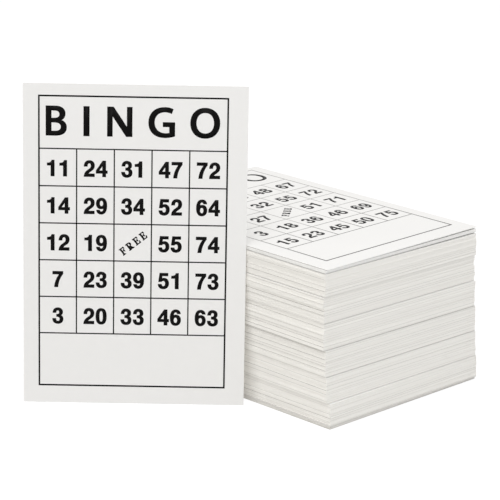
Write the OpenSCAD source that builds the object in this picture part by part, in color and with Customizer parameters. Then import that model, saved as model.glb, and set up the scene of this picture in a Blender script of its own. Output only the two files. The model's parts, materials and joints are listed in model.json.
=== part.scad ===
// Bingo cards: a square stack of loose printed cards, and one card that leans on its edge.
// Millimetres, +Z up. The origin is the middle of the bottom card's underside.
// The leaning card faces -Y, and the stack is turned about Z beside it.

/* [Card] */
// Short edge of a card
card_w = 104; // [80:1:130]
// Long edge of a card
card_l = 152; // [130:1:190]
// Thickness of the board
card_t = 0.4; // [0.3:0.01:0.6]

/* [Print] */
// Bare board to the left of the printed frame
margin_left = 7.4; // [4:0.1:12]
// Bare board to the right of the printed frame
margin_right = 9.4; // [4:0.1:12]
// Bare board below the printed frame
margin_foot = 8.5; // [5:0.1:12]
// Bare board above the printed frame
margin_head = 5.7; // [4:0.1:12]
// Height of the panel for the column letters
letter_panel_h = 24.6; // [15:0.1:30]
// Height of the bare panel under the squares
foot_panel_h = 25.3; // [10:0.1:30]
// Width of the line of the frame
frame_line = 0.76; // [0.3:0.02:1]
// Width of the lines between the squares
square_line = 0.58; // [0.2:0.02:0.8]
// Thickness of the printed film
film_t = 0.03; // [0.02:0.005:0.04]
// How far the stack's cards are printed to the right of the leaning card's place
print_drift_across = 2.5; // [0:0.1:3]
// How far the stack's cards are printed above the leaning card's place
print_drift_along = 1.7; // [0:0.1:3]

/* [Stack] */
// Cards in one pack
cards_in_pack = 30; // [15:5:40]
// Turn of the stack beside the leaning card, in degrees
stack_turn = 45; // [35:1:55]
// Air between two cards, where their boards aren't quite flat
card_air = 0.02; // [0.01:0.005:0.04]
// Air between two packs, with room for the print on the lower one
pack_air = 0.2; // [0.06:0.01:0.3]
// How far the stack's top is pushed to the left of its foot
push_left = 1.4; // [0:0.1:3]
// How far the stack's top is pushed back from its foot
push_back = 2.3; // [0:0.1:3]
// Cards at the foot of the stack that were left behind by those above
foot_cards = 4; // [0:1:10]
// How far those above stand out over them on both sides
foot_step = 0.5; // [0:0.1:1]
// Most that a pack is turned in the stack, in degrees
pack_turn = 1.5; // [0:0.1:2]
// Most that a pack is pushed out of square
pack_slip = 1.1; // [0:0.1:1.5]
// Most that a few cards together stand out of their pack
clump_slip = 0.35; // [0:0.05:0.5]
// Most that one card stands out of line
card_slip = 0.06; // [0:0.02:0.2]
// Most that one card is turned, in degrees
card_turn = 0.1; // [0:0.02:0.2]

/* [Loose cards] */
// Lift of the right edge of the loose cards under the top card
loose_lift = 0.45; // [0.1:0.05:1]
// Further lift of the right edge of the top card
top_lift = 0.6; // [0.1:0.05:1]

/* [Leaning card] */
// Along the stack's long side, from its front corner to where the card touches
lean_place = 54; // [30:0.1:75]
// How far the card's foot stands in front of where it touches
lean_out = 5.9; // [4:0.1:15]
// Clearance between the card and the edge that it leans on
lean_gap = 0.3; // [0.1:0.05:0.5]

/* [Hidden] */
pack_count = 6;
// Squares along each side of the grid
squares = 5;
// Loose cards on top of the last pack, the top card among them
loose_cards = 4;
// Places in a pack, from the bottom up
places = ["bottom", "lower", "middle", "upper", "top"];
// Each pack's own push, turn and clumps, as shares of the most of each
pack_across_shares = [0.25, 0.15, 0, -0.1, -0.4, 0];
pack_along_shares = [-0.6, -0.15, 0, 0.1, 0.4, 0];
pack_turn_shares = [0.2, 0.7, 0.8, 1, 0.75, 0.7];
pack_clump_shares = [0.5, 0.6, 0.8, 1.4, 1.4, 1];
// Cards stand out less along the stack than across it
along_share = 0.5;
// The same turn of the loose cards, from the lowest up
loose_turn_shares = [0.7, 0.6, 0.5, 0.3];
// Steps, in degrees, that scatter the cards evenly about their places
across_step = 137.5;
along_step = 97.3;
turn_step = 61.7;
// Cards in a short and in a long clump
short_clump = 6;
long_clump = 10;

cards_in_place = cards_in_pack / len(places);
last_pack = pack_count - 1;
card_pitch = card_t + card_air;
pack_h = cards_in_pack * card_pitch + pack_air;
cards_in_stack = pack_count * cards_in_pack;

// Heights in the loose cards, each with its print under the next
loose_foot = last_pack * pack_h + (cards_in_pack - loose_cards) * card_pitch + pack_air;
loose_pitch = card_t + pack_air / 2;
loose_tilt = atan(loose_lift / card_w);
top_tilt = atan(top_lift / card_w);
touch_h = loose_foot + (loose_cards - 1) * loose_pitch + card_t;

// The leaning card clears every card that it passes on its way down, and touches one
lean_angle = atan(lean_out / touch_h);
touch_along = -card_l / 2 + lean_place;
touch_across = -lean_gap - max(
    max([for (index = [0:loose_cards - 1])
        left_edge(loose_across(index), loose_along(index), loose_angle(index))]),
    max([for (pack = [0:last_pack]) for (index = [0:cards_in_pack - 1]) pack_reach(pack, index)])
);
touch_x = touch_across * cos(stack_turn) - touch_along * sin(stack_turn);
touch_y = touch_across * sin(stack_turn) + touch_along * cos(stack_turn);

// Centre lines of the printed frame, from the middle of the card
frame_left = -card_w / 2 + margin_left;
frame_right = card_w / 2 - margin_right;
frame_foot = -card_l / 2 + margin_foot;
frame_head = card_l / 2 - margin_head;
square_w = (frame_right - frame_left) / squares;
square_h = (frame_head - frame_foot - letter_panel_h - foot_panel_h) / squares;
squares_foot = frame_foot + foot_panel_h;
squares_head = frame_head - letter_panel_h;

// Even scatter between -1 and 1, and 0 for the bottom card
function scatter(n, step) = sin(n * step);

function clump(n, pack, step) =
    clump_slip * pack_clump_shares[pack] / 2
    * (scatter(floor(n / short_clump), step) + scatter(floor(n / long_clump), 2 * step));

function pack_share(n, pack, shares) = n < foot_cards ? 0 : shares[pack];

function foot_push(n) = n < foot_cards ? 0 : foot_step;

// How far the middle of a card lies from the middle of the bottom card
function slip_across(n, pack) =
    -foot_push(n) - push_left * n / cards_in_stack + pack_slip * pack_share(n, pack, pack_across_shares)
    + clump(n, pack, across_step) + card_slip * scatter(n, across_step);

function slip_along(n, pack) =
    -foot_push(n) + push_back * n / cards_in_stack + pack_slip * pack_share(n, pack, pack_along_shares)
    + along_share * (clump(n, pack, along_step) + card_slip * scatter(n, along_step));

function card_angle(n, pack) =
    -pack_turn * pack_share(n, pack, pack_turn_shares) + card_turn * scatter(n, turn_step);

function loose_across(index) = -foot_step - push_left + card_slip * scatter(index, across_step);
function loose_along(index) = -foot_step + push_back + card_slip * scatter(index, along_step);
function loose_angle(index) = -pack_turn * loose_turn_shares[index];

// How far left a card's long edge stands where the leaning card passes it
function left_edge(across, along, angle) =
    let (run = (touch_along - along + card_w / 2 * sin(angle)) / cos(angle))
    card_w / 2 * cos(angle) + run * sin(angle) - across;

// The same for a card lower in the stack, less what the leaning card stands off there
function pack_reach(pack, index) =
    let (n = pack * cards_in_pack + index)
    left_edge(slip_across(n, pack), slip_along(n, pack), card_angle(n, pack))
    - (touch_h - pack * pack_h - index * card_pitch) * lean_out / touch_h * sin(stack_turn);

// Places its children as a card of the stack that lies flat
module in_pack(pack, index) {
    n = pack * cards_in_pack + index;
    rotate([0, 0, stack_turn])
        translate([slip_across(n, pack), slip_along(n, pack), pack * pack_h + index * card_pitch])
            rotate([0, 0, card_angle(n, pack)])
                children();
}

// Places its children as a loose card: it rests on its left edge, and its right edge is lifted
module as_loose_card(index) {
    above = index > loose_cards - 2 ? top_tilt : 0;
    rotate([0, 0, stack_turn])
        translate([loose_across(index), loose_along(index), loose_foot])
            rotate([0, 0, loose_angle(index)])
                translate([-card_w / 2, 0, 0])
                    rotate([0, -loose_tilt, 0])
                        translate([0, 0, index * loose_pitch])
                            rotate([0, -above, 0])
                                translate([card_w / 2, 0, 0])
                                    children();
}

// Places its children as the card that stands on its foot and leans on the stack
module leaning() {
    translate([touch_x - card_w / 2, touch_y - lean_out, 0])
        rotate([90 - lean_angle, 0, 0])
            translate([0, card_l / 2, 0])
                children();
}

// One cut board, its printed face up
module board() {
    color([0.93, 0.92, 0.89])
        translate([-card_w / 2, -card_l / 2, 0])
            cube([card_w, card_l, card_t]);
}

// A panel or square of the form, drawn in from its centre lines by half of each line
module opening(left, foot, right, head) {
    at_left = left == frame_left ? frame_line : square_line;
    at_right = right == frame_right ? frame_line : square_line;
    at_foot = foot == frame_foot ? frame_line : square_line;
    at_head = head == frame_head ? frame_line : square_line;
    translate([left + at_left / 2, foot + at_foot / 2])
        square([right - left - (at_left + at_right) / 2, head - foot - (at_foot + at_head) / 2]);
}

// The ruled form: a frame, the panel for the letters, the squares and the bare panel
module form_lines() {
    difference() {
        translate([frame_left - frame_line / 2, frame_foot - frame_line / 2])
            square([frame_right - frame_left + frame_line, frame_head - frame_foot + frame_line]);
        opening(frame_left, squares_head, frame_right, frame_head);
        opening(frame_left, frame_foot, frame_right, squares_foot);
        for (column = [0:squares - 1])
            for (row = [0:squares - 1])
                opening(
                    column == 0 ? frame_left : frame_left + column * square_w,
                    squares_foot + row * square_h,
                    column == squares - 1 ? frame_right : frame_left + (column + 1) * square_w,
                    squares_foot + (row + 1) * square_h
                );
    }
}

// The printed film, lying on the board
module print_film(across, along) {
    color([0.12, 0.12, 0.12])
        translate([across, along, card_t])
            linear_extrude(film_t)
                form_lines();
}

// Every card of one place in one pack, each a board of its own
module pack_cards(pack, place) {
    loose = pack == last_pack && place == len(places) - 1 ? loose_cards : 0;
    for (index = [place * cards_in_place:(place + 1) * cards_in_place - 1 - loose])
        in_pack(pack, index) board();
}

// The print on the card that lies on top of a pack
module pack_print(pack) {
    in_pack(pack, cards_in_pack - 1 - (pack == last_pack ? loose_cards : 0))
        print_film(print_drift_across, print_drift_along);
}

module loose_card(index) { as_loose_card(index) board(); }
module loose_card_print(index) {
    as_loose_card(index) print_film(print_drift_across, print_drift_along);
}
module leaning_card() { leaning() board(); }
module leaning_card_print() { leaning() print_film(0, 0); }

leaning_card();
leaning_card_print();
loose_card(3);  // top_card
loose_card_print(3);  // top_card_print
loose_card(2);  // second_card
loose_card_print(2);  // second_card_print
loose_card(1);  // third_card
loose_card_print(1);  // third_card_print
loose_card(0);  // fourth_card
loose_card_print(0);  // fourth_card_print
for (pack = [0:last_pack]) {
    for (place = [0:len(places) - 1])
        pack_cards(pack, place);
    pack_print(pack);
}
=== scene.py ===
"""Looks for a stack of bingo cards and the card that leans on it.

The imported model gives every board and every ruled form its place. This file adds what is
printed on them, their paper and their ink, and the stage that they are seen on.
"""

import json
import math
import random
import re

import bpy
from mathutils import Matrix, Vector

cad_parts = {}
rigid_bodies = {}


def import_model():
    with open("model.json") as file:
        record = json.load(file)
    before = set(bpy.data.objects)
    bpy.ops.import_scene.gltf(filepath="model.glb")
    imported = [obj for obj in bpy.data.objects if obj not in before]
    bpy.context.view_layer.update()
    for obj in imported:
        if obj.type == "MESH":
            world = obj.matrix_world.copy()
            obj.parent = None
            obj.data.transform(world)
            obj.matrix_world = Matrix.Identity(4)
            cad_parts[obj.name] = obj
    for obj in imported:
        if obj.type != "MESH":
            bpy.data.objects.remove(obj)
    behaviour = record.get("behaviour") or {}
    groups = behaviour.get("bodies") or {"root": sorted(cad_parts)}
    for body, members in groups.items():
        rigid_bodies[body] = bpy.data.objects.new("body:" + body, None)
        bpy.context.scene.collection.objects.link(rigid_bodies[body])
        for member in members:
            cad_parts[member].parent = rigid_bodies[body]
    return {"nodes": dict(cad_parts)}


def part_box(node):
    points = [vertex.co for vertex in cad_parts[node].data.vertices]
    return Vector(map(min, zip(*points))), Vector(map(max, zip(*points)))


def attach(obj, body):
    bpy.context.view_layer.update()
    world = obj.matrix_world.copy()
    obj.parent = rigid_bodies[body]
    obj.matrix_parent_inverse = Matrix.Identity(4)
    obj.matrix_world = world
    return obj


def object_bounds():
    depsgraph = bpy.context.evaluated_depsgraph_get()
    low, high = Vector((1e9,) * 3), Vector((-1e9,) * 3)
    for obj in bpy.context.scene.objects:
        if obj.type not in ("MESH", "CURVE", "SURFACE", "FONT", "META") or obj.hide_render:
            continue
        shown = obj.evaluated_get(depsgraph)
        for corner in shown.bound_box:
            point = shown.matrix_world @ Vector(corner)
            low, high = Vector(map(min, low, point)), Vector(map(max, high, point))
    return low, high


bl_info = {
    "name": "Bingo Cards",
    "version": (1, 0, 0),
    "blender": (4, 5, 0),
    "location": "View3D > Sidebar > Bingo Cards",
    "description": "Prints and finishes a stack of bingo cards around its packed model",
    "category": "Object",
}

for leftover in list(bpy.data.objects):
    bpy.data.objects.remove(leftover)
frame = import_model()
cad_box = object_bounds()

MM = 0.001
NODES = frame["nodes"]
LEANING = "leaning_card"
LOOSE = ("fourth_card", "third_card", "second_card", "top_card")
PACKS = tuple(f"pack_{number}" for number in range(1, 7))
# Every card with a printed form, under the name of the body that it rides on
PRINTED = (LEANING, *reversed(LOOSE), *PACKS)

UP = Vector((0, 0, 1))
# The stack is turned by an eighth of a circle. Its long edges look this way or the other.
STACK_ACROSS = Vector((1, 1, 0)).normalized()
STACK_ALONG = Vector((-1, 1, 0)).normalized()
# Which way each corner of a printed frame lies, and which way the print looks
LEANING_CORNERS = {
    "foot_left": (-1, 0, -1), "foot_right": (1, 0, -1), "head_left": (-1, 0, 1), "facing": (0, -1, 0)}
LYING_CORNERS = {
    "foot_left": (0, -1, 0), "foot_right": (1, 0, 0), "head_left": (-1, 0, 0), "facing": (0, 0, 1)}

SQUARES = 5
NUMBERS_IN_COLUMN = 15
COLUMN_LETTERS = "BINGO"
FREE_WORD = "FREE"

# Outlines of the printed figures, drawn on a height of 100
FIGURE_HEIGHT = 100
CURVE_STEPS = 9
DIGIT_WIDTH = 70
DIGIT_ADVANCE = 78
DIGITS = {
    "0": "M35 -1.5 C58 -1.5 68 16 68 50 C68 84 58 101.5 35 101.5 C12 101.5 2 84 2 50"
         "C2 16 12 -1.5 35 -1.5 Z"
         "M35 14 C25 14 22.5 26 22.5 50 C22.5 74 25 86 35 86 C45 86 47.5 74 47.5 50"
         "C47.5 26 45 14 35 14 Z",
    "1": "M31 0 H51.5 V100 H36 C33.5 87 24 82 8 82 V68 H31 Z",
    "2": "M3 0 C3 18 12 31 29 43 C41 51.5 47 57 47 68 C47 79 42 85.5 35 85.5"
         "C27 85.5 22.5 78 22.5 65 H3.5 C3.5 88 16 101.5 35.5 101.5 C56 101.5 67.5 89 67.5 70"
         "C67.5 52 58 43.5 46 35 C36 28 31 24 28 17 H67 V0 Z",
    "3": "M4 70 C5 90 17 101.5 35 101.5 C53 101.5 65 90 65 75 C65 64 60 56.5 51 53"
         "C62 49.5 68 41 68 29 C68 10 55 -1.5 35 -1.5 C15 -1.5 2.5 10 2 31 H21.5"
         "C22 20 27 14 35.5 14 C43.5 14 48 19.5 48 29 C48 39.5 41 44.5 27.5 44.5 V58"
         "C39.5 58 45.5 62.5 45.5 72 C45.5 80.5 41.5 85.5 34.5 85.5 C27.5 85.5 23 80 23 70 Z",
    "4": "M41 0 H60 V22 H70 V37.5 H60 V100 H42 L1 39 V22 H41 Z"
         "M41 37.5 V73 L17 37.5 Z",
    "5": "M12 100 H63 V83.5 H27 L24 63.5 C28.5 66.5 33 68 38.5 68 C56 68 68 54.5 68 34"
         "C68 13 54.5 -1.5 34 -1.5 C15 -1.5 2.5 9.5 2 27.5 H22 C23 19 27.5 14.5 34 14.5"
         "C42.5 14.5 47.5 22 47.5 33.5 C47.5 45 42.5 52 34 52 C28.5 52 25 50 22.5 45.5 H4.5 Z",
    "6": "M66 76 H47 C45.5 82.5 42 86 36 86 C28 86 23.5 79 22.5 66 L29.5 65.5"
         "C32 67 35 67.5 39 67.5 C56 67.5 68 54.5 68 34 C68 13 54.5 -1.5 35 -1.5"
         "C14 -1.5 2 15 2 47.5 C2 83 14.5 101.5 37 101.5 C53 101.5 64.5 92.5 66 76 Z"
         "M35.5 14 C43 14 48 21.5 48 33.5 C48 45 43 52 35.5 52 C28 52 23 45 23 33.5"
         "C23 21.5 28 14 35.5 14 Z",
    "7": "M3 100 H67 V85 C49 63 37.5 33 35 0 H14 C16.5 31 28 60 46 83 H3 Z",
    "8": "M35 101.5 C53.5 101.5 65 91 65 75.5 C65 65 60 57.5 51.5 54"
         "C62.5 50.5 68.5 41.5 68.5 29 C68.5 10 55.5 -1.5 35 -1.5 C14.5 -1.5 1.5 10 1.5 29"
         "C1.5 41.5 7.5 50.5 18.5 54 C10 57.5 5 65 5 75.5 C5 91 16.5 101.5 35 101.5 Z"
         "M35 86.5 C28.5 86.5 24.5 81.5 24.5 73.5 C24.5 65 28.5 60 35 60"
         "C41.5 60 45.5 65 45.5 73.5 C45.5 81.5 41.5 86.5 35 86.5 Z"
         "M35 46.5 C27 46.5 22 40 22 30 C22 20 27 13.5 35 13.5 C43 13.5 48 20 48 30"
         "C48 40 43 46.5 35 46.5 Z",
    "9": "M4 24 H23 C24.5 17.5 28 14 34 14 C42 14 46.5 21 47.5 34 L40.5 34.5"
         "C38 33 35 32.5 31 32.5 C14 32.5 2 45.5 2 66 C2 87 15.5 101.5 35 101.5"
         "C56 101.5 68 85 68 52.5 C68 17 55.5 -1.5 33 -1.5 C17 -1.5 5.5 7.5 4 24 Z"
         "M34.5 86 C27 86 22 78.5 22 66.5 C22 55 27 48 34.5 48 C42 48 47 55 47 66.5"
         "C47 78.5 42 86 34.5 86 Z",
}
LETTERS = {
    "B": "M0 0 H32 C56 0 69 10 69 27.5 C69 40.5 61.5 49 49.5 52 C59 56 64.5 64 64.5 74.5"
         "C64.5 91 52.5 100 31 100 H0 Z"
         "M17 86 V58.5 H29 C40 58.5 46.5 63.5 46.5 72.5 C46.5 81.5 40.5 86 29 86 Z"
         "M17 14 H30.5 C44 14 51 19 51 29 C51 39.5 43.5 45 29.5 45 H17 Z",
    "I": "M0 0 H18 V100 H0 Z",
    "N": "M0 0 V100 H20 L67 29 V100 H83 V0 H64 L16 72 V0 Z",
    "G": "M88 50 H49 V36 H71 V13.5 C66 12.5 60 12 56 12 C34 12.5 18.5 27 18.5 50"
         "C18.5 72 33 86.5 55 86.5 C64 86.5 71 84.5 77 81.5 L82 95.5"
         "C75 99 66 101.5 54.5 101.5 C21 101.5 0 81 0 49.5 C0 17.5 21 -1.5 54 -1.5"
         "C66 -1.5 78 0.5 88 4 Z",
    "O": "M49.5 -1.5 C79 -1.5 99 19 99 50 C99 81 79 101.5 49.5 101.5 C20 101.5 0 81 0 50"
         "C0 19 20 -1.5 49.5 -1.5 Z"
         "M49.5 13.5 C30.5 13.5 18.5 28 18.5 50 C18.5 72 30.5 86.5 49.5 86.5"
         "C68.5 86.5 80.5 72 80.5 50 C80.5 28 68.5 13.5 49.5 13.5 Z",
}
# Middle of each column letter, as a share of the printed frame's width
LETTER_PLACES = (0.094, 0.254, 0.430, 0.652, 0.882)
SMALL_LETTERS = {
    "F": "M0 0 V7 L10 10 V90 L0 93 V100 H68 L70 72 H62 C60 86 54 92 40 92 H29 V56 H38"
         "C46 56 49 60 50 70 H57 V34 H50 C49 44 46 48 38 48 H29 V10 L42 7 V0 Z",
    "R": "M0 0 V7 L10 10 V90 L0 93 V100 H40 C60 100 71 91 71 75 C71 62 63 53 50 50 L68 12"
         "L80 7 V0 H52 L31 46 H29 V10 L39 7 V0 Z"
         "M29 54 V92 H38 C47 92 51 86 51 74 C51 61 46 54 36 54 Z",
    "E": "M0 0 V7 L10 10 V90 L0 93 V100 H68 L70 74 H62 C60 87 54 92 42 92 H29 V56 H38"
         "C46 56 49 60 50 69 H57 V35 H50 C49 44 46 48 38 48 H29 V8 H44 C58 8 64 15 67 30 H75"
         "L72 0 Z",
}
SMALL_LETTER_WIDTHS = {"F": 70, "R": 80, "E": 75}
# How far ink spreads past an outline, as a share of its height: on the leaning card, in the stack
DIGIT_SPREADS = (0.022, 0.01)
LETTER_SPREADS = (0.014, -0.01)
SMALL_SPREADS = (0.03, 0.03)

# Points of an outline and edges of ruled lines that are closer than this are the same
SAME_POINT = 0.0001
SAME_LINE = 0.05 * MM
# A side looks along a direction from this cosine of the angle between them
SAME_SIDE = 0.7
# The pitch, in metres, of a card with no neighbour: it lies in the part that has no slit
ONE_CARD = 1

# Clouds of the paper, which are finer in the ink
CLOUD_DETAIL = 4
CLOUD_ROUGHNESS = 0.6
INK_CLOUDS = 1 / 3
# How much darker a cloud makes a face, and how much lighter thin ink is
FACE_SHADE = 0.975
THIN_INK = 1.6
# Roughness and relief, of board and of ink
BOARD_ROUGHNESS = (0.62, 0.74)
BOARD_RELIEF = 0.5
INK_ROUGHNESS = (0.3, 0.45)
INK_RELIEF = 0.3
INK_GLOSS = 0.06
# Where the ruled lines of the stack start and end to fade, along the cards
FADE_START = -60 * MM
FADE_END = -10 * MM

# Tone of a cut edge: what each card's own chance, painted shade on its rounded lips and its drift along
# the edge add
TONE_SHARE = 0.1
LIP_SHADE_SHARE = 0.05
DRIFT_SHARE = 0.2
LIP_START = 0.3
DRIFT_SCALE = 24
CARD_DRIFT = 0.37
# Cards of two packs never share a number
CARDS_APART = 37
# Slits between cards, dark with painted shade: how much of a pitch they take, how many are open, and how
# dark the painted shade is
SLIT_SHARE = 0.6
GOLDEN_STEP = 0.618
OPEN_ON_LONG = 0.16
OPEN_ON_SHORT = 0.3
LONG_EDGE_SLIT = 0.7
SHORT_EDGE_SLIT = 0.31
LEAST_SLIT = 0.5
# Zones of tighter and looser cards
CARDS_IN_ZONE = 12
TIGHT_ZONE = 0.3
LOOSE_ZONE = 0.6
# From this many packs up, the short edges lie tight
CLOSED_FROM = 5.5
# Painted shade in the breaks between packs, which is darkest over the third pack
BREAK_SHARE = 0.8
BREAK_DEPTH = 0.38
WIDEST_BREAK = 3
# Painted shade on the lowest cards, under a line of painted shadow
FOOT_CARDS = 4
FOOT_LINE_DEPTH = 0.24
FOOT_DEPTH = 0.04
# The loose cards count from 0 to 3, and the first and the last of them show a slit of painted shade
MIDDLE_LOOSE = 1.5
NEARLY = 0.1
LOOSE_ON_LONG = 0.5
LOOSE_ON_SHORT = 0.22

# Lamps, camera and floor
KEY_PLACE = (0.02, -0.69, 1.33)
KEY_WIDTH = 1.3
LEFT_PLACE = (-1.35, -0.02, 0.45)
RIGHT_PLACE = (1.35, -0.36, 0.5)
SIDE_WIDTH = 0.8
WHITE = (1, 1, 1)
WARM_LIGHT = (1, 0.94, 0.84)
SENSOR_WIDTH = 36
FLOOR_ROUGHNESS = 0.9
FLOOR_GLOW = 1.1


def plain_colour(red, green, blue):
    """A screen colour from 0 to 255 as the linear colour that Blender's sockets hold."""
    full, toe, slope, offset, power = 255, 0.04045, 12.92, 0.055, 2.4
    shares = [value / full for value in (red, green, blue)]
    return tuple(v / slope if v <= toe else ((v + offset) / (1 + offset)) ** power for v in shares)


class PaperSettings(bpy.types.PropertyGroup):
    """Colours and sizes of the board that the cards are cut from."""

    face_colour: bpy.props.FloatVectorProperty(
        name="Face", description="Colour of the board's white faces",
        subtype="COLOR", size=3, min=0, max=1, default=plain_colour(241, 240, 238))
    edge_colour: bpy.props.FloatVectorProperty(
        name="Cut Edge", description="Colour of the board where it is cut",
        subtype="COLOR", size=3, min=0, max=1, default=plain_colour(247, 245, 240))
    # Painted light: a lighter copy of the cut edge's colour, for the loose cards' edges, which catch more
    # light
    loose_edge_colour: bpy.props.FloatVectorProperty(
        name="Lit Loose Edge", description="Colour of the cut edges of the loose cards",
        subtype="COLOR", size=3, min=0, max=1, default=plain_colour(255, 255, 253))
    # Darker end of a cut edge's random tone, which also paints shade on each card's rounded lips
    lip_colour: bpy.props.FloatVectorProperty(
        name="Lip", description="Colour of the darker lips of a cut edge",
        subtype="COLOR", size=3, min=0, max=1, default=plain_colour(239, 236, 229))
    # Painted shade: the dark colour put where two boards part and shade falls in the slit
    slit_colour: bpy.props.FloatVectorProperty(
        name="Slit", description="Colour of the slits where two boards part",
        subtype="COLOR", size=3, min=0, max=1, default=plain_colour(84, 78, 68))
    mottle_size: bpy.props.FloatProperty(
        name="Mottle", description="Size of the clouds in the paper",
        subtype="DISTANCE", default=3.5 * MM)
    grain_size: bpy.props.FloatProperty(
        name="Grain", description="Size of the paper's grain", subtype="DISTANCE", default=0.16 * MM)
    grain_depth: bpy.props.FloatProperty(
        name="Grain Depth", description="Depth of the paper's grain",
        subtype="DISTANCE", default=0.006 * MM)
    card_pitch: bpy.props.FloatProperty(
        name="Card Pitch", description="From one card of a pack to the next",
        subtype="DISTANCE", default=0.42 * MM)


class PrintSettings(bpy.types.PropertyGroup):
    """Colour and sizes of what is printed on each card."""

    ink_colour: bpy.props.FloatVectorProperty(
        name="Ink", description="Colour of the printing ink",
        subtype="COLOR", size=3, min=0, max=1, default=plain_colour(9, 8, 8))
    hairline_colour: bpy.props.FloatVectorProperty(
        name="Hairline", description="Colour of the ruled lines at the foot of the cards in the stack",
        subtype="COLOR", size=3, min=0, max=1, default=plain_colour(72, 71, 70))
    faded_colour: bpy.props.FloatVectorProperty(
        name="Faded Line", description="Colour of the same lines further up, where less ink lies",
        subtype="COLOR", size=3, min=0, max=1, default=plain_colour(180, 179, 177))
    number_height: bpy.props.FloatProperty(
        name="Number Height", description="Height of the numbers",
        subtype="DISTANCE", default=7.4 * MM)
    number_drop: bpy.props.FloatProperty(
        name="Number Drop", description="How far the numbers stand below the middles of their squares",
        subtype="DISTANCE", default=0.4 * MM)
    letter_height: bpy.props.FloatProperty(
        name="Letter Height", description="Height of the column letters",
        subtype="DISTANCE", default=13.6 * MM)
    letter_rise: bpy.props.FloatProperty(
        name="Letter Rise", description="From the foot of the letters' panel to their own foot",
        subtype="DISTANCE", default=6.2 * MM)
    free_height: bpy.props.FloatProperty(
        name="Free Height", description="Height of the word in the free square",
        subtype="DISTANCE", default=3.5 * MM)
    free_length: bpy.props.FloatProperty(
        name="Free Length", description="Length of the word in the free square",
        subtype="DISTANCE", default=14.4 * MM)
    free_slope: bpy.props.FloatProperty(
        name="Free Slope", description="How steeply the word in the free square rises",
        subtype="ANGLE", default=math.radians(39))
    free_shift: bpy.props.FloatVectorProperty(
        name="Free Shift", description="How far the word stands right of and above its square's middle",
        subtype="TRANSLATION", size=2, default=(0.3 * MM, -0.3 * MM))
    first_draw: bpy.props.IntProperty(
        name="First Draw", description="Seed of the first card's numbers; each further card has the next",
        default=21)


class StageSettings(bpy.types.PropertyGroup):
    """The floor, the lamps and the camera."""

    floor_width: bpy.props.FloatProperty(
        name="Floor Width", description="Width of the square floor", subtype="DISTANCE", default=9)
    floor_colour: bpy.props.FloatVectorProperty(
        name="Floor", description="Colour of the floor",
        subtype="COLOR", size=3, min=0, max=1, default=plain_colour(218, 218, 218))
    floor_shadow: bpy.props.FloatProperty(
        name="Floor Shadow", description="How much of the object's shadow the floor shows",
        subtype="FACTOR", min=0, max=1, default=0.2)
    daylight: bpy.props.FloatProperty(
        name="Daylight", description="Strength of the light from all round", default=0.56)
    key_power: bpy.props.FloatProperty(
        name="Key Lamp", description="Power of the softbox high in front, in watts", default=12.6)
    left_power: bpy.props.FloatProperty(
        name="Left Lamp", description="Power of the softbox on the left, in watts", default=3.9)
    right_power: bpy.props.FloatProperty(
        name="Right Lamp", description="Power of the softbox on the right, in watts", default=1.25)
    camera_place: bpy.props.FloatVectorProperty(
        name="Camera", description="Where the camera stands", subtype="TRANSLATION", size=3,
        default=(-22.99 * MM, -1058.87 * MM, 373.61 * MM))
    camera_turn: bpy.props.FloatProperty(
        name="Turn", description="How far the camera looks to the right of straight ahead",
        subtype="ANGLE", default=math.radians(0.097))
    camera_dip: bpy.props.FloatProperty(
        name="Dip", description="How far the camera looks down",
        subtype="ANGLE", default=math.radians(16.554))
    camera_roll: bpy.props.FloatProperty(
        name="Roll", description="How far the camera is turned about its own view",
        subtype="ANGLE", default=math.radians(1.047))
    camera_lens: bpy.props.FloatProperty(
        name="Lens", description="Focal length in millimetres, on a sensor 36 wide", default=161.63)


def feed(tree, socket, value):
    """Links an input from another socket, or sets its value."""
    if isinstance(value, bpy.types.NodeSocket):
        tree.links.new(value, socket)
    else:
        socket.default_value = value


def add_node(tree, kind, inputs=None, **settings):
    """Adds a node with these settings. Each input is a value, or a socket that it is linked from."""
    node = tree.nodes.new(kind)
    for name, value in settings.items():
        setattr(node, name, value)
    for key, value in (inputs or {}).items():
        feed(tree, node.inputs[key], value)
    return node


def math_of(tree, operation, *values):
    """A Math node's result."""
    return add_node(tree, "ShaderNodeMath", dict(enumerate(values)), operation=operation).outputs[0]


def product(tree, result, *factors):
    """All these values multiplied."""
    for factor in factors:
        result = math_of(tree, "MULTIPLY", result, factor)
    return result


def distance(tree, value, middle):
    """How far a value is from a middle, either way."""
    return math_of(tree, "ABSOLUTE", math_of(tree, "SUBTRACT", value, middle))


def share_along(tree, vector, axis):
    """How far a vector reaches along an axis."""
    return add_node(
        tree, "ShaderNodeVectorMath", {0: vector, 1: axis}, operation="DOT_PRODUCT").outputs["Value"]


def blend_colours(tree, share, low, high):
    """A colour that goes from low to high as share goes from 0 to 1."""
    node = add_node(tree, "ShaderNodeMix", data_type="RGBA")
    sockets = {socket.identifier: socket for socket in node.inputs}
    feed(tree, sockets["Factor_Float"], share)
    for name, colour in (("A_Color", low), ("B_Color", high)):
        linked = isinstance(colour, bpy.types.NodeSocket)
        feed(tree, sockets[name], colour if linked else (*colour, 1))
    return next(socket for socket in node.outputs if socket.identifier == "Result_Color")


def blend_values(tree, share, low, high):
    """A value that goes from low to high as share goes from 0 to 1."""
    return add_node(
        tree, "ShaderNodeMapRange", {"Value": share, "To Min": low, "To Max": high}).outputs[0]


def new_group(name, inputs, outputs):
    """An empty shader group with its named sockets, and the nodes at its two ends."""
    group = bpy.data.node_groups.new(name, "ShaderNodeTree")
    for direction, sockets in (("INPUT", inputs), ("OUTPUT", outputs)):
        for socket_name, kind in sockets.items():
            group.interface.new_socket(
                name=socket_name, in_out=direction, socket_type=f"NodeSocket{kind}")
    return (group, group.nodes.new("NodeGroupInput").outputs,
            group.nodes.new("NodeGroupOutput").inputs)


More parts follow.
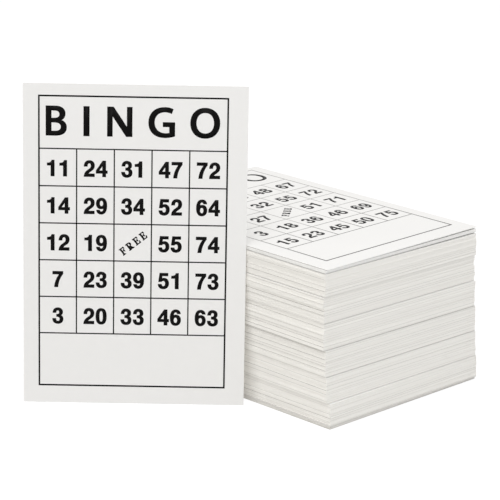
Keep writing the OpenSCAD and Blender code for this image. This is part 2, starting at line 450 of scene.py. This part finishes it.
def paper_grain_group():
    """Clouds and fine grain of paper, which show in the board and through the ink."""
    name = "Paper Grain"
    if name in bpy.data.node_groups:
        return bpy.data.node_groups[name]
    group, given, made = new_group(
        name, {"Place": "Vector", "Mottle Size": "Float", "Grain Size": "Float"},
        {"Tone": "Float", "Height": "Float"})
    clouds = add_node(group, "ShaderNodeTexNoise", {
        "Vector": given["Place"], "Scale": math_of(group, "DIVIDE", 1, given["Mottle Size"]),
        "Detail": CLOUD_DETAIL, "Roughness": CLOUD_ROUGHNESS})
    grain = add_node(group, "ShaderNodeTexNoise", {
        "Vector": given["Place"], "Scale": math_of(group, "DIVIDE", 1, given["Grain Size"])})
    group.links.new(clouds.outputs[0], made["Tone"])
    group.links.new(grain.outputs[0], made["Height"])
    return group


def slits_between_cards(group, given, number, chance, packs, in_slit):
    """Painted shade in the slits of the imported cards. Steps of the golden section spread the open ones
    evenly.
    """
    turn = math_of(group, "FRACT", math_of(group, "MULTIPLY", number, GOLDEN_STEP))
    open_share = blend_values(group, given["Long Edge"], OPEN_ON_SHORT, OPEN_ON_LONG)
    zones = add_node(
        group, "ShaderNodeTexNoise",
        {"W": math_of(group, "MULTIPLY", number, 1 / CARDS_IN_ZONE), "Scale": 1, "Detail": 0},
        noise_dimensions="1D").outputs[0]
    openness = add_node(group, "ShaderNodeMapRange", {
        "Value": zones, "From Min": TIGHT_ZONE, "From Max": LOOSE_ZONE,
        "To Min": LEAST_SLIT}).outputs[0]
    on_short = product(group, math_of(group, "LESS_THAN", packs, CLOSED_FROM), SHORT_EDGE_SLIT)
    return product(
        group, in_slit, math_of(group, "LESS_THAN", turn, open_share), openness,
        blend_values(group, chance, LEAST_SLIT, 1.0),
        blend_values(group, given["Long Edge"], on_short, LONG_EDGE_SLIT))


def shades_of_packs(group, height_in_cards, cards, packs):
    """Painted shade in the breaks under each pack but the lowest, and painted shade and a painted shadow
    line at the foot.
    """
    narrowing = math_of(group, "SUBTRACT", BREAK_DEPTH, math_of(
        group, "MULTIPLY", distance(group, packs, WIDEST_BREAK), BREAK_DEPTH / WIDEST_BREAK))
    under_pack = product(
        group, math_of(group, "LESS_THAN", cards, BREAK_SHARE),
        math_of(group, "GREATER_THAN", packs, 1), narrowing)
    foot = math_of(group, "LESS_THAN", height_in_cards, FOOT_CARDS + 1)
    foot_line = product(
        group, foot, math_of(group, "GREATER_THAN", height_in_cards, FOOT_CARDS), FOOT_LINE_DEPTH)
    return [under_pack, math_of(group, "MULTIPLY", foot, FOOT_DEPTH), foot_line]


def slits_of_loose_cards(group, given, number, in_slit):
    """Painted shade in the slits under the lowest and the highest of the loose cards."""
    outer = math_of(group, "COMPARE", distance(group, number, MIDDLE_LOOSE), MIDDLE_LOOSE, NEARLY)
    return product(
        group, outer, in_slit, math_of(group, "SUBTRACT", 1, given["In Stack"]),
        blend_values(group, given["Long Edge"], LOOSE_ON_SHORT, LOOSE_ON_LONG))


def cut_edge_group():
    """The cut edges of cards: each card's own tone, painted shade on their rounded lips, and painted
    shade in the slits where boards part.
    """
    name = "Cut Edges"
    if name in bpy.data.node_groups:
        return bpy.data.node_groups[name]
    group, given, made = new_group(
        name, {"Place": "Vector", "Pack Height": "Float", "Card Pitch": "Float", "Edge": "Color",
               "Lip": "Color", "Slit": "Color", "In Stack": "Float", "Long Edge": "Float"},
        {"Colour": "Color", "Height": "Float"})
    axes = add_node(group, "ShaderNodeSeparateXYZ", {0: given["Place"]}).outputs
    packs = math_of(group, "DIVIDE", axes["Z"], given["Pack Height"])
    in_pack = math_of(group, "MULTIPLY", math_of(group, "FRACT", packs), given["Pack Height"])
    cards = math_of(group, "DIVIDE", in_pack, given["Card Pitch"])
    number = math_of(
        group, "ADD", math_of(group, "FLOOR", cards),
        math_of(group, "MULTIPLY", math_of(group, "FLOOR", packs), CARDS_APART))
    up_card = math_of(group, "FRACT", cards)

    own = add_node(group, "ShaderNodeTexWhiteNoise", {"W": number}, noise_dimensions="1D")
    chances = add_node(group, "ShaderNodeSeparateXYZ", {0: own.outputs["Color"]}).outputs
    along_card = add_node(group, "ShaderNodeCombineXYZ", {
        "X": axes["X"], "Y": axes["Y"], "Z": math_of(group, "MULTIPLY", number, CARD_DRIFT)})
    drift = add_node(group, "ShaderNodeTexNoise", {
        "Vector": along_card.outputs[0], "Scale": DRIFT_SCALE}).outputs[0]
    lip = add_node(
        group, "ShaderNodeMapRange",
        {"Value": distance(group, up_card, 0.5), "From Min": LIP_START, "From Max": 0.5},
        interpolation_type="SMOOTHSTEP").outputs[0]
    # Each card's random tone and its drift, with painted shade on the rounded lips
    tone = math_of(group, "MULTIPLY", chances["X"], TONE_SHARE)
    for part, share in ((lip, LIP_SHADE_SHARE), (drift, DRIFT_SHARE)):
        tone = math_of(group, "MULTIPLY_ADD", part, share, tone)

    # Dark lines of painted shade: in open slits, in the breaks between packs, at the foot and under the
    # outer loose cards
    in_slit = math_of(group, "GREATER_THAN", up_card, 1 - SLIT_SHARE)
    height_in_cards = math_of(group, "DIVIDE", axes["Z"], given["Card Pitch"])
    slit_shade = slits_of_loose_cards(group, given, number, in_slit)
    stack_slits = [slits_between_cards(group, given, number, chances["Y"], packs, in_slit),
                   *shades_of_packs(group, height_in_cards, cards, packs)]
    for depth in stack_slits:
        slit_shade = math_of(group, "MAXIMUM", slit_shade, math_of(group, "MULTIPLY", depth, given["In Stack"]))
    board = blend_colours(group, tone, given["Edge"], given["Lip"])
    group.links.new(blend_colours(group, slit_shade, board, given["Slit"]), made["Colour"])
    group.links.new(math_of(group, "SUBTRACT", drift, lip), made["Height"])
    return group


def new_material(name):
    """A material with its node tree and its shader."""
    material = bpy.data.materials.new(name)
    material.use_nodes = True
    return material, material.node_tree, material.node_tree.nodes["Principled BSDF"]


def add_grain(tree, place, clouds=1):
    """Clouds and grain of paper at these coordinates, with clouds of a share of their size."""
    paper = bpy.context.scene.card_paper
    return add_node(tree, "ShaderNodeGroup", {
        "Place": place, "Mottle Size": paper.mottle_size * clouds,
        "Grain Size": paper.grain_size}, node_tree=paper_grain_group()).outputs


def add_relief(tree, shader, strength, height):
    """Gives a shader the fine relief of this height."""
    bump = add_node(tree, "ShaderNodeBump", {
        "Strength": strength, "Distance": bpy.context.scene.card_paper.grain_depth,
        "Height": height})
    tree.links.new(bump.outputs[0], shader.inputs["Normal"])


def looks_along(tree, normal, axis):
    """1 where a side looks along an axis, either way, and 0 elsewhere."""
    across = math_of(tree, "ABSOLUTE", share_along(tree, normal, axis))
    return math_of(tree, "GREATER_THAN", across, SAME_SIDE)


def lie_of(card):
    """How a loose card's underside slants: its height in the middle of the stack, and its slope."""
    points = [vertex.co for vertex in NODES[card].data.vertices]
    low = min(points, key=lambda point: point.z)
    high = max(points, key=lambda point: point.dot(STACK_ACROSS) - point.z)
    slope = (high.z - low.z) / (high - low).dot(STACK_ACROSS)
    return low.z - slope * low.dot(STACK_ACROSS), slope


def above_foot(tree, place, pitch, middle_height, slope):
    """Object coordinates with their height counted from half a pitch below a slanting underside."""
    across = share_along(tree, place, STACK_ACROSS)
    foot = math_of(tree, "MULTIPLY_ADD", across, slope, middle_height - pitch / 2)
    drop = add_node(tree, "ShaderNodeCombineXYZ", {"Z": foot}).outputs[0]
    return add_node(
        tree, "ShaderNodeVectorMath", {0: place, 1: drop}, operation="SUBTRACT").outputs[0]


def board_material(name, facing, edge_colour, pitch, lie=None, in_stack=0):
    """White board: grained faces that look along facing, and the cut edges of cards at a pitch."""
    paper = bpy.context.scene.card_paper
    material, tree, shader = new_material(name)
    given = tree.nodes.new("ShaderNodeTexCoord").outputs
    place = given["Object"]
    low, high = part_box("pack_2_bottom_cards")[0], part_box("pack_3_bottom_cards")[0]
    # The cut edges carry painted shade on their lips and in their slits, breaks and foot
    edge = add_node(tree, "ShaderNodeGroup", {
        "Place": above_foot(tree, place, pitch, *lie) if lie else place,
        "Pack Height": high.z - low.z, "Card Pitch": pitch, "Edge": (*edge_colour, 1),
        "Lip": (*paper.lip_colour, 1), "Slit": (*paper.slit_colour, 1), "In Stack": in_stack,
        "Long Edge": looks_along(tree, given["Normal"], STACK_ACROSS)},
        node_tree=cut_edge_group()).outputs
    grain = add_grain(tree, place)
    on_face = looks_along(tree, given["Normal"], facing)
    shaded = tuple(value * FACE_SHADE for value in paper.face_colour)
    face = blend_colours(tree, grain["Tone"], shaded, tuple(paper.face_colour))
    tree.links.new(blend_colours(tree, on_face, edge["Colour"], face), shader.inputs["Base Color"])
    roughness = blend_values(tree, grain["Tone"], *BOARD_ROUGHNESS)
    tree.links.new(roughness, shader.inputs["Roughness"])
    height = blend_values(tree, on_face, edge["Height"], grain["Height"])
    add_relief(tree, shader, BOARD_RELIEF, height)
    return material


def ink_material(name, ink_colour, faded_colour=None):
    """Printing ink: a thin film with the paper's clouds and grain. It can fade up the stack's cards."""
    if name in bpy.data.materials:
        return bpy.data.materials[name]
    material, tree, shader = new_material(name)
    place = tree.nodes.new("ShaderNodeTexCoord").outputs["Object"]
    grain = add_grain(tree, place, INK_CLOUDS)
    thin = tuple(value * THIN_INK for value in ink_colour)
    colour = blend_colours(tree, grain["Tone"], tuple(ink_colour), thin)
    if faded_colour:
        fade = add_node(tree, "ShaderNodeMapRange", {
            "Value": share_along(tree, place, STACK_ALONG),
            "From Min": FADE_START, "From Max": FADE_END}).outputs[0]
        colour = blend_colours(tree, fade, colour, tuple(faded_colour))
    tree.links.new(colour, shader.inputs["Base Color"])
    roughness = blend_values(tree, grain["Height"], *INK_ROUGHNESS)
    tree.links.new(roughness, shader.inputs["Roughness"])
    shader.inputs["Specular IOR Level"].default_value = INK_GLOSS
    add_relief(tree, shader, INK_RELIEF, grain["Height"])
    return material


def clothe(piece, material):
    """Gives a piece its one material."""
    piece.data.materials.clear()
    piece.data.materials.append(material)


def clear_selection():
    """Leaves nothing selected."""
    bpy.ops.object.select_all(action="DESELECT")


def select_only(pieces):
    """Selects these objects, with the first of them active."""
    clear_selection()
    for piece in pieces:
        piece.select_set(True)
    bpy.context.view_layer.objects.active = pieces[0]


def curve_points(start, first, second, end):
    """Points of one curved step of an outline, its start left out."""
    points = []
    for step in range(1, CURVE_STEPS + 1):
        t = step / CURVE_STEPS
        weights = ((1 - t) ** 3, 3 * t * (1 - t) ** 2, 3 * t * t * (1 - t), t ** 3)
        corners = (start, first, second, end)
        points.append(tuple(sum(w * p[i] for w, p in zip(weights, corners)) for i in (0, 1)))
    return points


def read_outlines(path):
    """Closed outlines of a figure: M starts one, L, H and V draw straight, C curves, Z closes it."""
    outlines, points = [], []
    for step, numbers in re.findall("([MLHVCZ])([^MLHVCZ]*)", path):
        values = [float(number) for number in numbers.split()]
        if step == "M":
            points = [tuple(values)]
        elif step == "L":
            points.append(tuple(values))
        elif step == "H":
            points.append((values[0], points[-1][1]))
        elif step == "V":
            points.append((points[-1][0], values[0]))
        elif step == "C":
            points += curve_points(points[-1], values[0:2], values[2:4], values[4:6])
        else:
            if points[-1] == points[0]:
                points.pop()
            outlines.append(points)
    return outlines


def model_figure(path, spread):
    """Models a printed figure as a plate 1 high and 1 thick. Its outline is spread by a share."""
    flat = bpy.data.curves.new("figure", "CURVE")
    flat.dimensions = "2D"
    flat.fill_mode = "FRONT"
    flat.offset = spread
    for outline in read_outlines(path):
        spline = flat.splines.new("POLY")
        spline.points.add(len(outline) - 1)
        for point, (x, y) in zip(spline.points, outline):
            point.co = (x / FIGURE_HEIGHT, y / FIGURE_HEIGHT, 0, 1)
        spline.use_cyclic_u = True
    figure = bpy.data.objects.new("figure", flat)
    bpy.context.collection.objects.link(figure)
    select_only([figure])
    bpy.ops.object.convert(target="MESH")
    bpy.ops.object.mode_set(mode="EDIT")
    bpy.ops.mesh.select_all(action="SELECT")
    bpy.ops.mesh.remove_doubles(threshold=SAME_POINT)
    bpy.ops.mesh.extrude_region_move(TRANSFORM_OT_translate={"value": (0, 0, 1)})
    bpy.ops.mesh.select_all(action="SELECT")
    bpy.ops.mesh.normals_make_consistent(inside=False)
    bpy.ops.object.mode_set(mode="OBJECT")
    return figure


def model_figures(outlines, spreads):
    """Models each figure as it is printed on the leaning card, under True, and in the stack."""
    return {
        leaning: {sign: model_figure(path, spread) for sign, path in outlines.items()}
        for leaning, spread in zip((True, False), spreads)}


def remove_figures(figures_of):
    """Deletes the figures that were only copied."""
    select_only([figure for figures in figures_of.values() for figure in figures.values()])
    bpy.ops.object.delete()


def middles_of_lines(places):
    """Middles of ruled lines, from the places of all their edges."""
    edges = []
    for place in sorted(places):
        if not edges or place - edges[-1] > SAME_LINE:
            edges.append(place)
    return [(low + high) / 2 for low, high in zip(edges[0::2], edges[1::2])]


def read_form(card):
    """A card's ruled form, from its CAD node: its plane, the middles of its lines and its thickness."""
    corners = LEANING_CORNERS if card == LEANING else LYING_CORNERS
    facing = Vector(corners["facing"])
    points = [vertex.co.copy() for vertex in NODES[f"{card}_print"].data.vertices]

    def base_corner(name):
        """The corner of the film's underside that lies furthest this way."""
        return max(points, key=(Vector(corners[name]) - facing / 2).dot)

    start = base_corner("foot_left")
    across = (base_corner("foot_right") - start).normalized()
    along = (base_corner("head_left") - start).normalized()
    plane = Matrix((across, along, across.cross(along))).transposed().to_4x4()
    plane.translation = start
    local = [plane.inverted() @ point for point in points]
    columns = middles_of_lines([point.x for point in local])
    rows = middles_of_lines([point.y for point in local])
    return plane, columns, rows, max(point.z for point in local)


def stamp(figure, plane, start, foot, height, film):
    """Copies a figure, with a mesh of its own, to its place on a plane."""
    size = Matrix.Diagonal((height, height, film, 1))
    copy = figure.copy()
    copy.data = figure.data.copy()
    copy.data.transform(plane @ Matrix.Translation((start, foot, 0)) @ size)
    bpy.context.collection.objects.link(copy)
    return copy


def stamp_number(number, figures, plane, middle, foot, height, film):
    """Stamps a number's digits side by side about a middle."""
    unit = height / FIGURE_HEIGHT
    digits = str(number)
    start = middle - ((len(digits) - 1) * DIGIT_ADVANCE + DIGIT_WIDTH) * unit / 2
    return [stamp(figures[digit], plane, start + place * DIGIT_ADVANCE * unit, foot, height, film)
            for place, digit in enumerate(digits)]


def join_print(card, kind, stamps):
    """Joins printed figures to one piece, which rides with its card."""
    select_only(stamps)
    bpy.ops.object.join()
    piece = bpy.context.active_object
    piece.name = f"{card}_{kind}"
    piece.data.name = piece.name
    clothe(piece, ink_material("Printing Ink", bpy.context.scene.card_print.ink_colour))
    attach(piece, card)
    return piece


class CARDS_OT_finish_boards(bpy.types.Operator):
    """Give every board its paper, with the faces and the cut edges told apart"""

    bl_idname = "cards.finish_boards"
    bl_label = "Finish the Boards"

    def execute(self, context):
        paper = context.scene.card_paper
        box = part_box(LEANING)
        lean = math.atan2(box[1].y - box[0].y, box[1].z - box[0].z)
        clothe(NODES[LEANING], board_material(
            "Board Leaning", (0, -math.cos(lean), math.sin(lean)), paper.edge_colour, ONE_CARD))
        lie = lie_of("fourth_card")
        loose_pitch = lie_of("third_card")[0] - lie[0]
        # The loose cards' edges get a lighter copy of the cut edge's colour, as painted light
        loose = board_material("Board Loose", UP, paper.loose_edge_colour, loose_pitch, lie)
        for card in LOOSE:
            clothe(NODES[card], loose)
        packed = board_material(
            "Board Packed", UP, paper.edge_colour, paper.card_pitch, in_stack=1)
        for name, node in NODES.items():
            if name.startswith("pack_") and name.endswith("_cards"):
                clothe(node, packed)
        return {"FINISHED"}


class CARDS_OT_ink_forms(bpy.types.Operator):
    """Ink the ruled form of every printed card"""

    bl_idname = "cards.ink_forms"
    bl_label = "Ink the Ruled Forms"

    def execute(self, context):
        settings = context.scene.card_print
        ink = ink_material("Printing Ink", settings.ink_colour)
        hairline = ink_material("Hairline Ink", settings.hairline_colour, settings.faded_colour)
        for card in PRINTED:
            clothe(NODES[f"{card}_print"], ink if card == LEANING else hairline)
        return {"FINISHED"}


class CARDS_OT_print_numbers(bpy.types.Operator):
    """Print five numbers in each column, out of the fifteen that belong to it"""

    bl_idname = "cards.print_numbers"
    bl_label = "Print the Numbers"

    def execute(self, context):
        settings = context.scene.card_print
        height = settings.number_height
        digits_of = model_figures(DIGITS, DIGIT_SPREADS)
        for index, card in enumerate(PRINTED):
            plane, columns, rows, film = read_form(card)
            draw = random.Random(settings.first_draw + index)
            stamps = []
            for column in range(SQUARES):
                first = column * NUMBERS_IN_COLUMN + 1
                middle = (columns[column] + columns[column + 1]) / 2
                numbers = draw.sample(range(first, first + NUMBERS_IN_COLUMN), SQUARES)
                for row, number in enumerate(numbers):
                    if column == row == SQUARES // 2:
                        continue
                    foot = (rows[row + 1] + rows[row + 2] - height) / 2 - settings.number_drop
                    stamps += stamp_number(
                        number, digits_of[card == LEANING], plane, middle, foot, height, film)
            join_print(card, "numbers", stamps)
        remove_figures(digits_of)
        return {"FINISHED"}


class CARDS_OT_print_letters(bpy.types.Operator):
    """Print the letter of each column in the panel above the squares"""

    bl_idname = "cards.print_letters"
    bl_label = "Print the Column Letters"

    def execute(self, context):
        settings = context.scene.card_print
        height = settings.letter_height
        letters_of = model_figures(LETTERS, LETTER_SPREADS)
        for card in PRINTED:
            plane, columns, rows, film = read_form(card)
            foot = rows[-2] + settings.letter_rise
            stamps = []
            for letter, share in zip(COLUMN_LETTERS, LETTER_PLACES):
                figure = letters_of[card == LEANING][letter]
                middle = columns[0] + share * (columns[-1] - columns[0])
                start = middle - figure.dimensions.x * height / 2
                stamps.append(stamp(figure, plane, start, foot, height, film))
            join_print(card, "letters", stamps)
        remove_figures(letters_of)
        return {"FINISHED"}


class CARDS_OT_print_free_words(bpy.types.Operator):
    """Print the word of the free square, rising across it"""

    bl_idname = "cards.print_free_words"
    bl_label = "Print the Free Squares"

    def execute(self, context):
        settings = context.scene.card_print
        height = settings.free_height
        letters_of = model_figures(SMALL_LETTERS, SMALL_SPREADS)
        widths = [SMALL_LETTER_WIDTHS[letter] * height / FIGURE_HEIGHT for letter in FREE_WORD]
        gap = (settings.free_length - sum(widths)) / (len(FREE_WORD) - 1)
        half = SQUARES // 2
        for card in PRINTED:
            plane, columns, rows, film = read_form(card)
            middle = Vector((columns[half] + columns[half + 1],
                             rows[half + 1] + rows[half + 2], 0)) / 2
            middle += Vector((*settings.free_shift, 0))
            turned = (plane @ Matrix.Translation(middle)
                      @ Matrix.Rotation(settings.free_slope, 4, "Z"))
            start = -settings.free_length / 2
            stamps = []
            for letter, width in zip(FREE_WORD, widths):
                figure = letters_of[card == LEANING][letter]
                stamps.append(stamp(figure, turned, start, -height / 2, height, film))
                start += width + gap
            join_print(card, "free_word", stamps)
        remove_figures(letters_of)
        return {"FINISHED"}


def seen_directly(tree):
    """1 for what the camera, a reflection or a clear piece sees, and 0 for other light."""
    rays = tree.nodes.new("ShaderNodeLightPath").outputs
    mirrored = math_of(tree, "MAXIMUM", rays["Is Glossy Ray"], rays["Is Transmission Ray"])
    return math_of(tree, "MAXIMUM", rays["Is Camera Ray"], mirrored)


def floor_material():
    """A pale floor, which is seen as white with the object's shadow kept."""
    stage = bpy.context.scene.card_stage
    material, tree, shader = new_material("Studio Floor")
    shader.inputs["Roughness"].default_value = FLOOR_ROUGHNESS
    seen = seen_directly(tree)
    colour = blend_colours(tree, seen, tuple(stage.floor_colour), WHITE)
    tree.links.new(colour, shader.inputs["Base Color"])
    white = add_node(tree, "ShaderNodeEmission", {"Color": (*WHITE, 1), "Strength": FLOOR_GLOW})
    share = math_of(tree, "MULTIPLY", seen, 1 - stage.floor_shadow)
    mixed = add_node(
        tree, "ShaderNodeMixShader", {0: share, 1: shader.outputs[0], 2: white.outputs[0]})
    tree.links.new(mixed.outputs[0], tree.nodes["Material Output"].inputs["Surface"])
    return material


def set_world(strength):
    """Even white light from all round, which the camera sees as plain white."""
    world = bpy.data.worlds.new("Studio")
    bpy.context.scene.world = world
    world.use_nodes = True
    tree = world.node_tree
    background = tree.nodes["Background"].inputs
    background["Color"].default_value = (*WHITE, 1)
    level = blend_values(tree, seen_directly(tree), strength, 1.0)
    tree.links.new(level, background["Strength"])


def add_lamp(name, place, aim, width, power, colour=WHITE):
    """A square softbox that looks at a point."""
    bpy.ops.object.light_add(type="AREA", location=place)
    lamp = bpy.context.active_object
    lamp.name = name
    lamp.rotation_euler = (Vector(aim) - Vector(place)).to_track_quat("-Z", "Y").to_euler()
    lamp.data.size = width
    lamp.data.energy = power
    lamp.data.color = colour


class CARDS_OT_set_stage(bpy.types.Operator):
    """Set up the pale floor, the soft lamps and the camera"""

    bl_idname = "cards.set_stage"
    bl_label = "Set the Stage"

    def execute(self, context):
        stage = context.scene.card_stage
        middle = (cad_box[0] + cad_box[1]) / 2
        clear_selection()
        bpy.ops.mesh.primitive_plane_add(size=stage.floor_width, location=(0, 0, cad_box[0].z))
        floor = context.active_object
        floor.name = "studio_floor"
        clothe(floor, floor_material())
        set_world(stage.daylight)
        add_lamp("key_lamp", KEY_PLACE, middle, KEY_WIDTH, stage.key_power)
        add_lamp("left_lamp", LEFT_PLACE, middle, SIDE_WIDTH, stage.left_power, WARM_LIGHT)
        add_lamp("right_lamp", RIGHT_PLACE, middle, SIDE_WIDTH, stage.right_power)
        bpy.ops.object.camera_add(location=stage.camera_place)
        camera = context.active_object
        camera.name = "photo_camera"
        camera.rotation_euler = (
            Matrix.Rotation(-stage.camera_turn, 3, "Z")
            @ Matrix.Rotation(math.pi / 2 - stage.camera_dip, 3, "X")
            @ Matrix.Rotation(stage.camera_roll, 3, "Z")).to_euler()
        camera.data.sensor_width = SENSOR_WIDTH
        camera.data.lens = stage.camera_lens
        camera.data.clip_end = 2 * stage.floor_width
        context.scene.camera = camera
        context.scene.view_settings.view_transform = "Standard"
        return {"FINISHED"}


STEPS = (
    CARDS_OT_finish_boards,
    CARDS_OT_ink_forms,
    CARDS_OT_print_numbers,
    CARDS_OT_print_letters,
    CARDS_OT_print_free_words,
    CARDS_OT_set_stage,
)
SETTINGS = {"card_paper": PaperSettings, "card_print": PrintSettings, "card_stage": StageSettings}


class CARDS_PT_build(bpy.types.Panel):
    """Lists the steps that dress the cards"""

    bl_label = "Bingo Cards"
    bl_idname = "CARDS_PT_build"
    bl_space_type = "VIEW_3D"
    bl_region_type = "UI"
    bl_category = "Bingo Cards"

    def draw(self, context):
        for step in STEPS:
            self.layout.operator(step.bl_idname)
        for name, group in SETTINGS.items():
            box = self.layout.box()
            for setting in group.__annotations__:
                box.prop(getattr(context.scene, name), setting)


def register():
    """Registers the settings, the operators and the panel."""
    for registered in (*SETTINGS.values(), *STEPS, CARDS_PT_build):
        bpy.utils.register_class(registered)
    for name, group in SETTINGS.items():
        setattr(bpy.types.Scene, name, bpy.props.PointerProperty(type=group))


def unregister():
    """Takes all of them out again."""
    for name in SETTINGS:
        delattr(bpy.types.Scene, name)
    for registered in reversed((*SETTINGS.values(), *STEPS, CARDS_PT_build)):
        bpy.utils.unregister_class(registered)


def main():
    """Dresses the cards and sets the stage."""
    register()
    bpy.ops.cards.finish_boards()
    bpy.ops.cards.ink_forms()
    bpy.ops.cards.print_numbers()
    bpy.ops.cards.print_letters()
    bpy.ops.cards.print_free_words()
    bpy.ops.cards.set_stage()


if __name__ == "__main__":
    main()
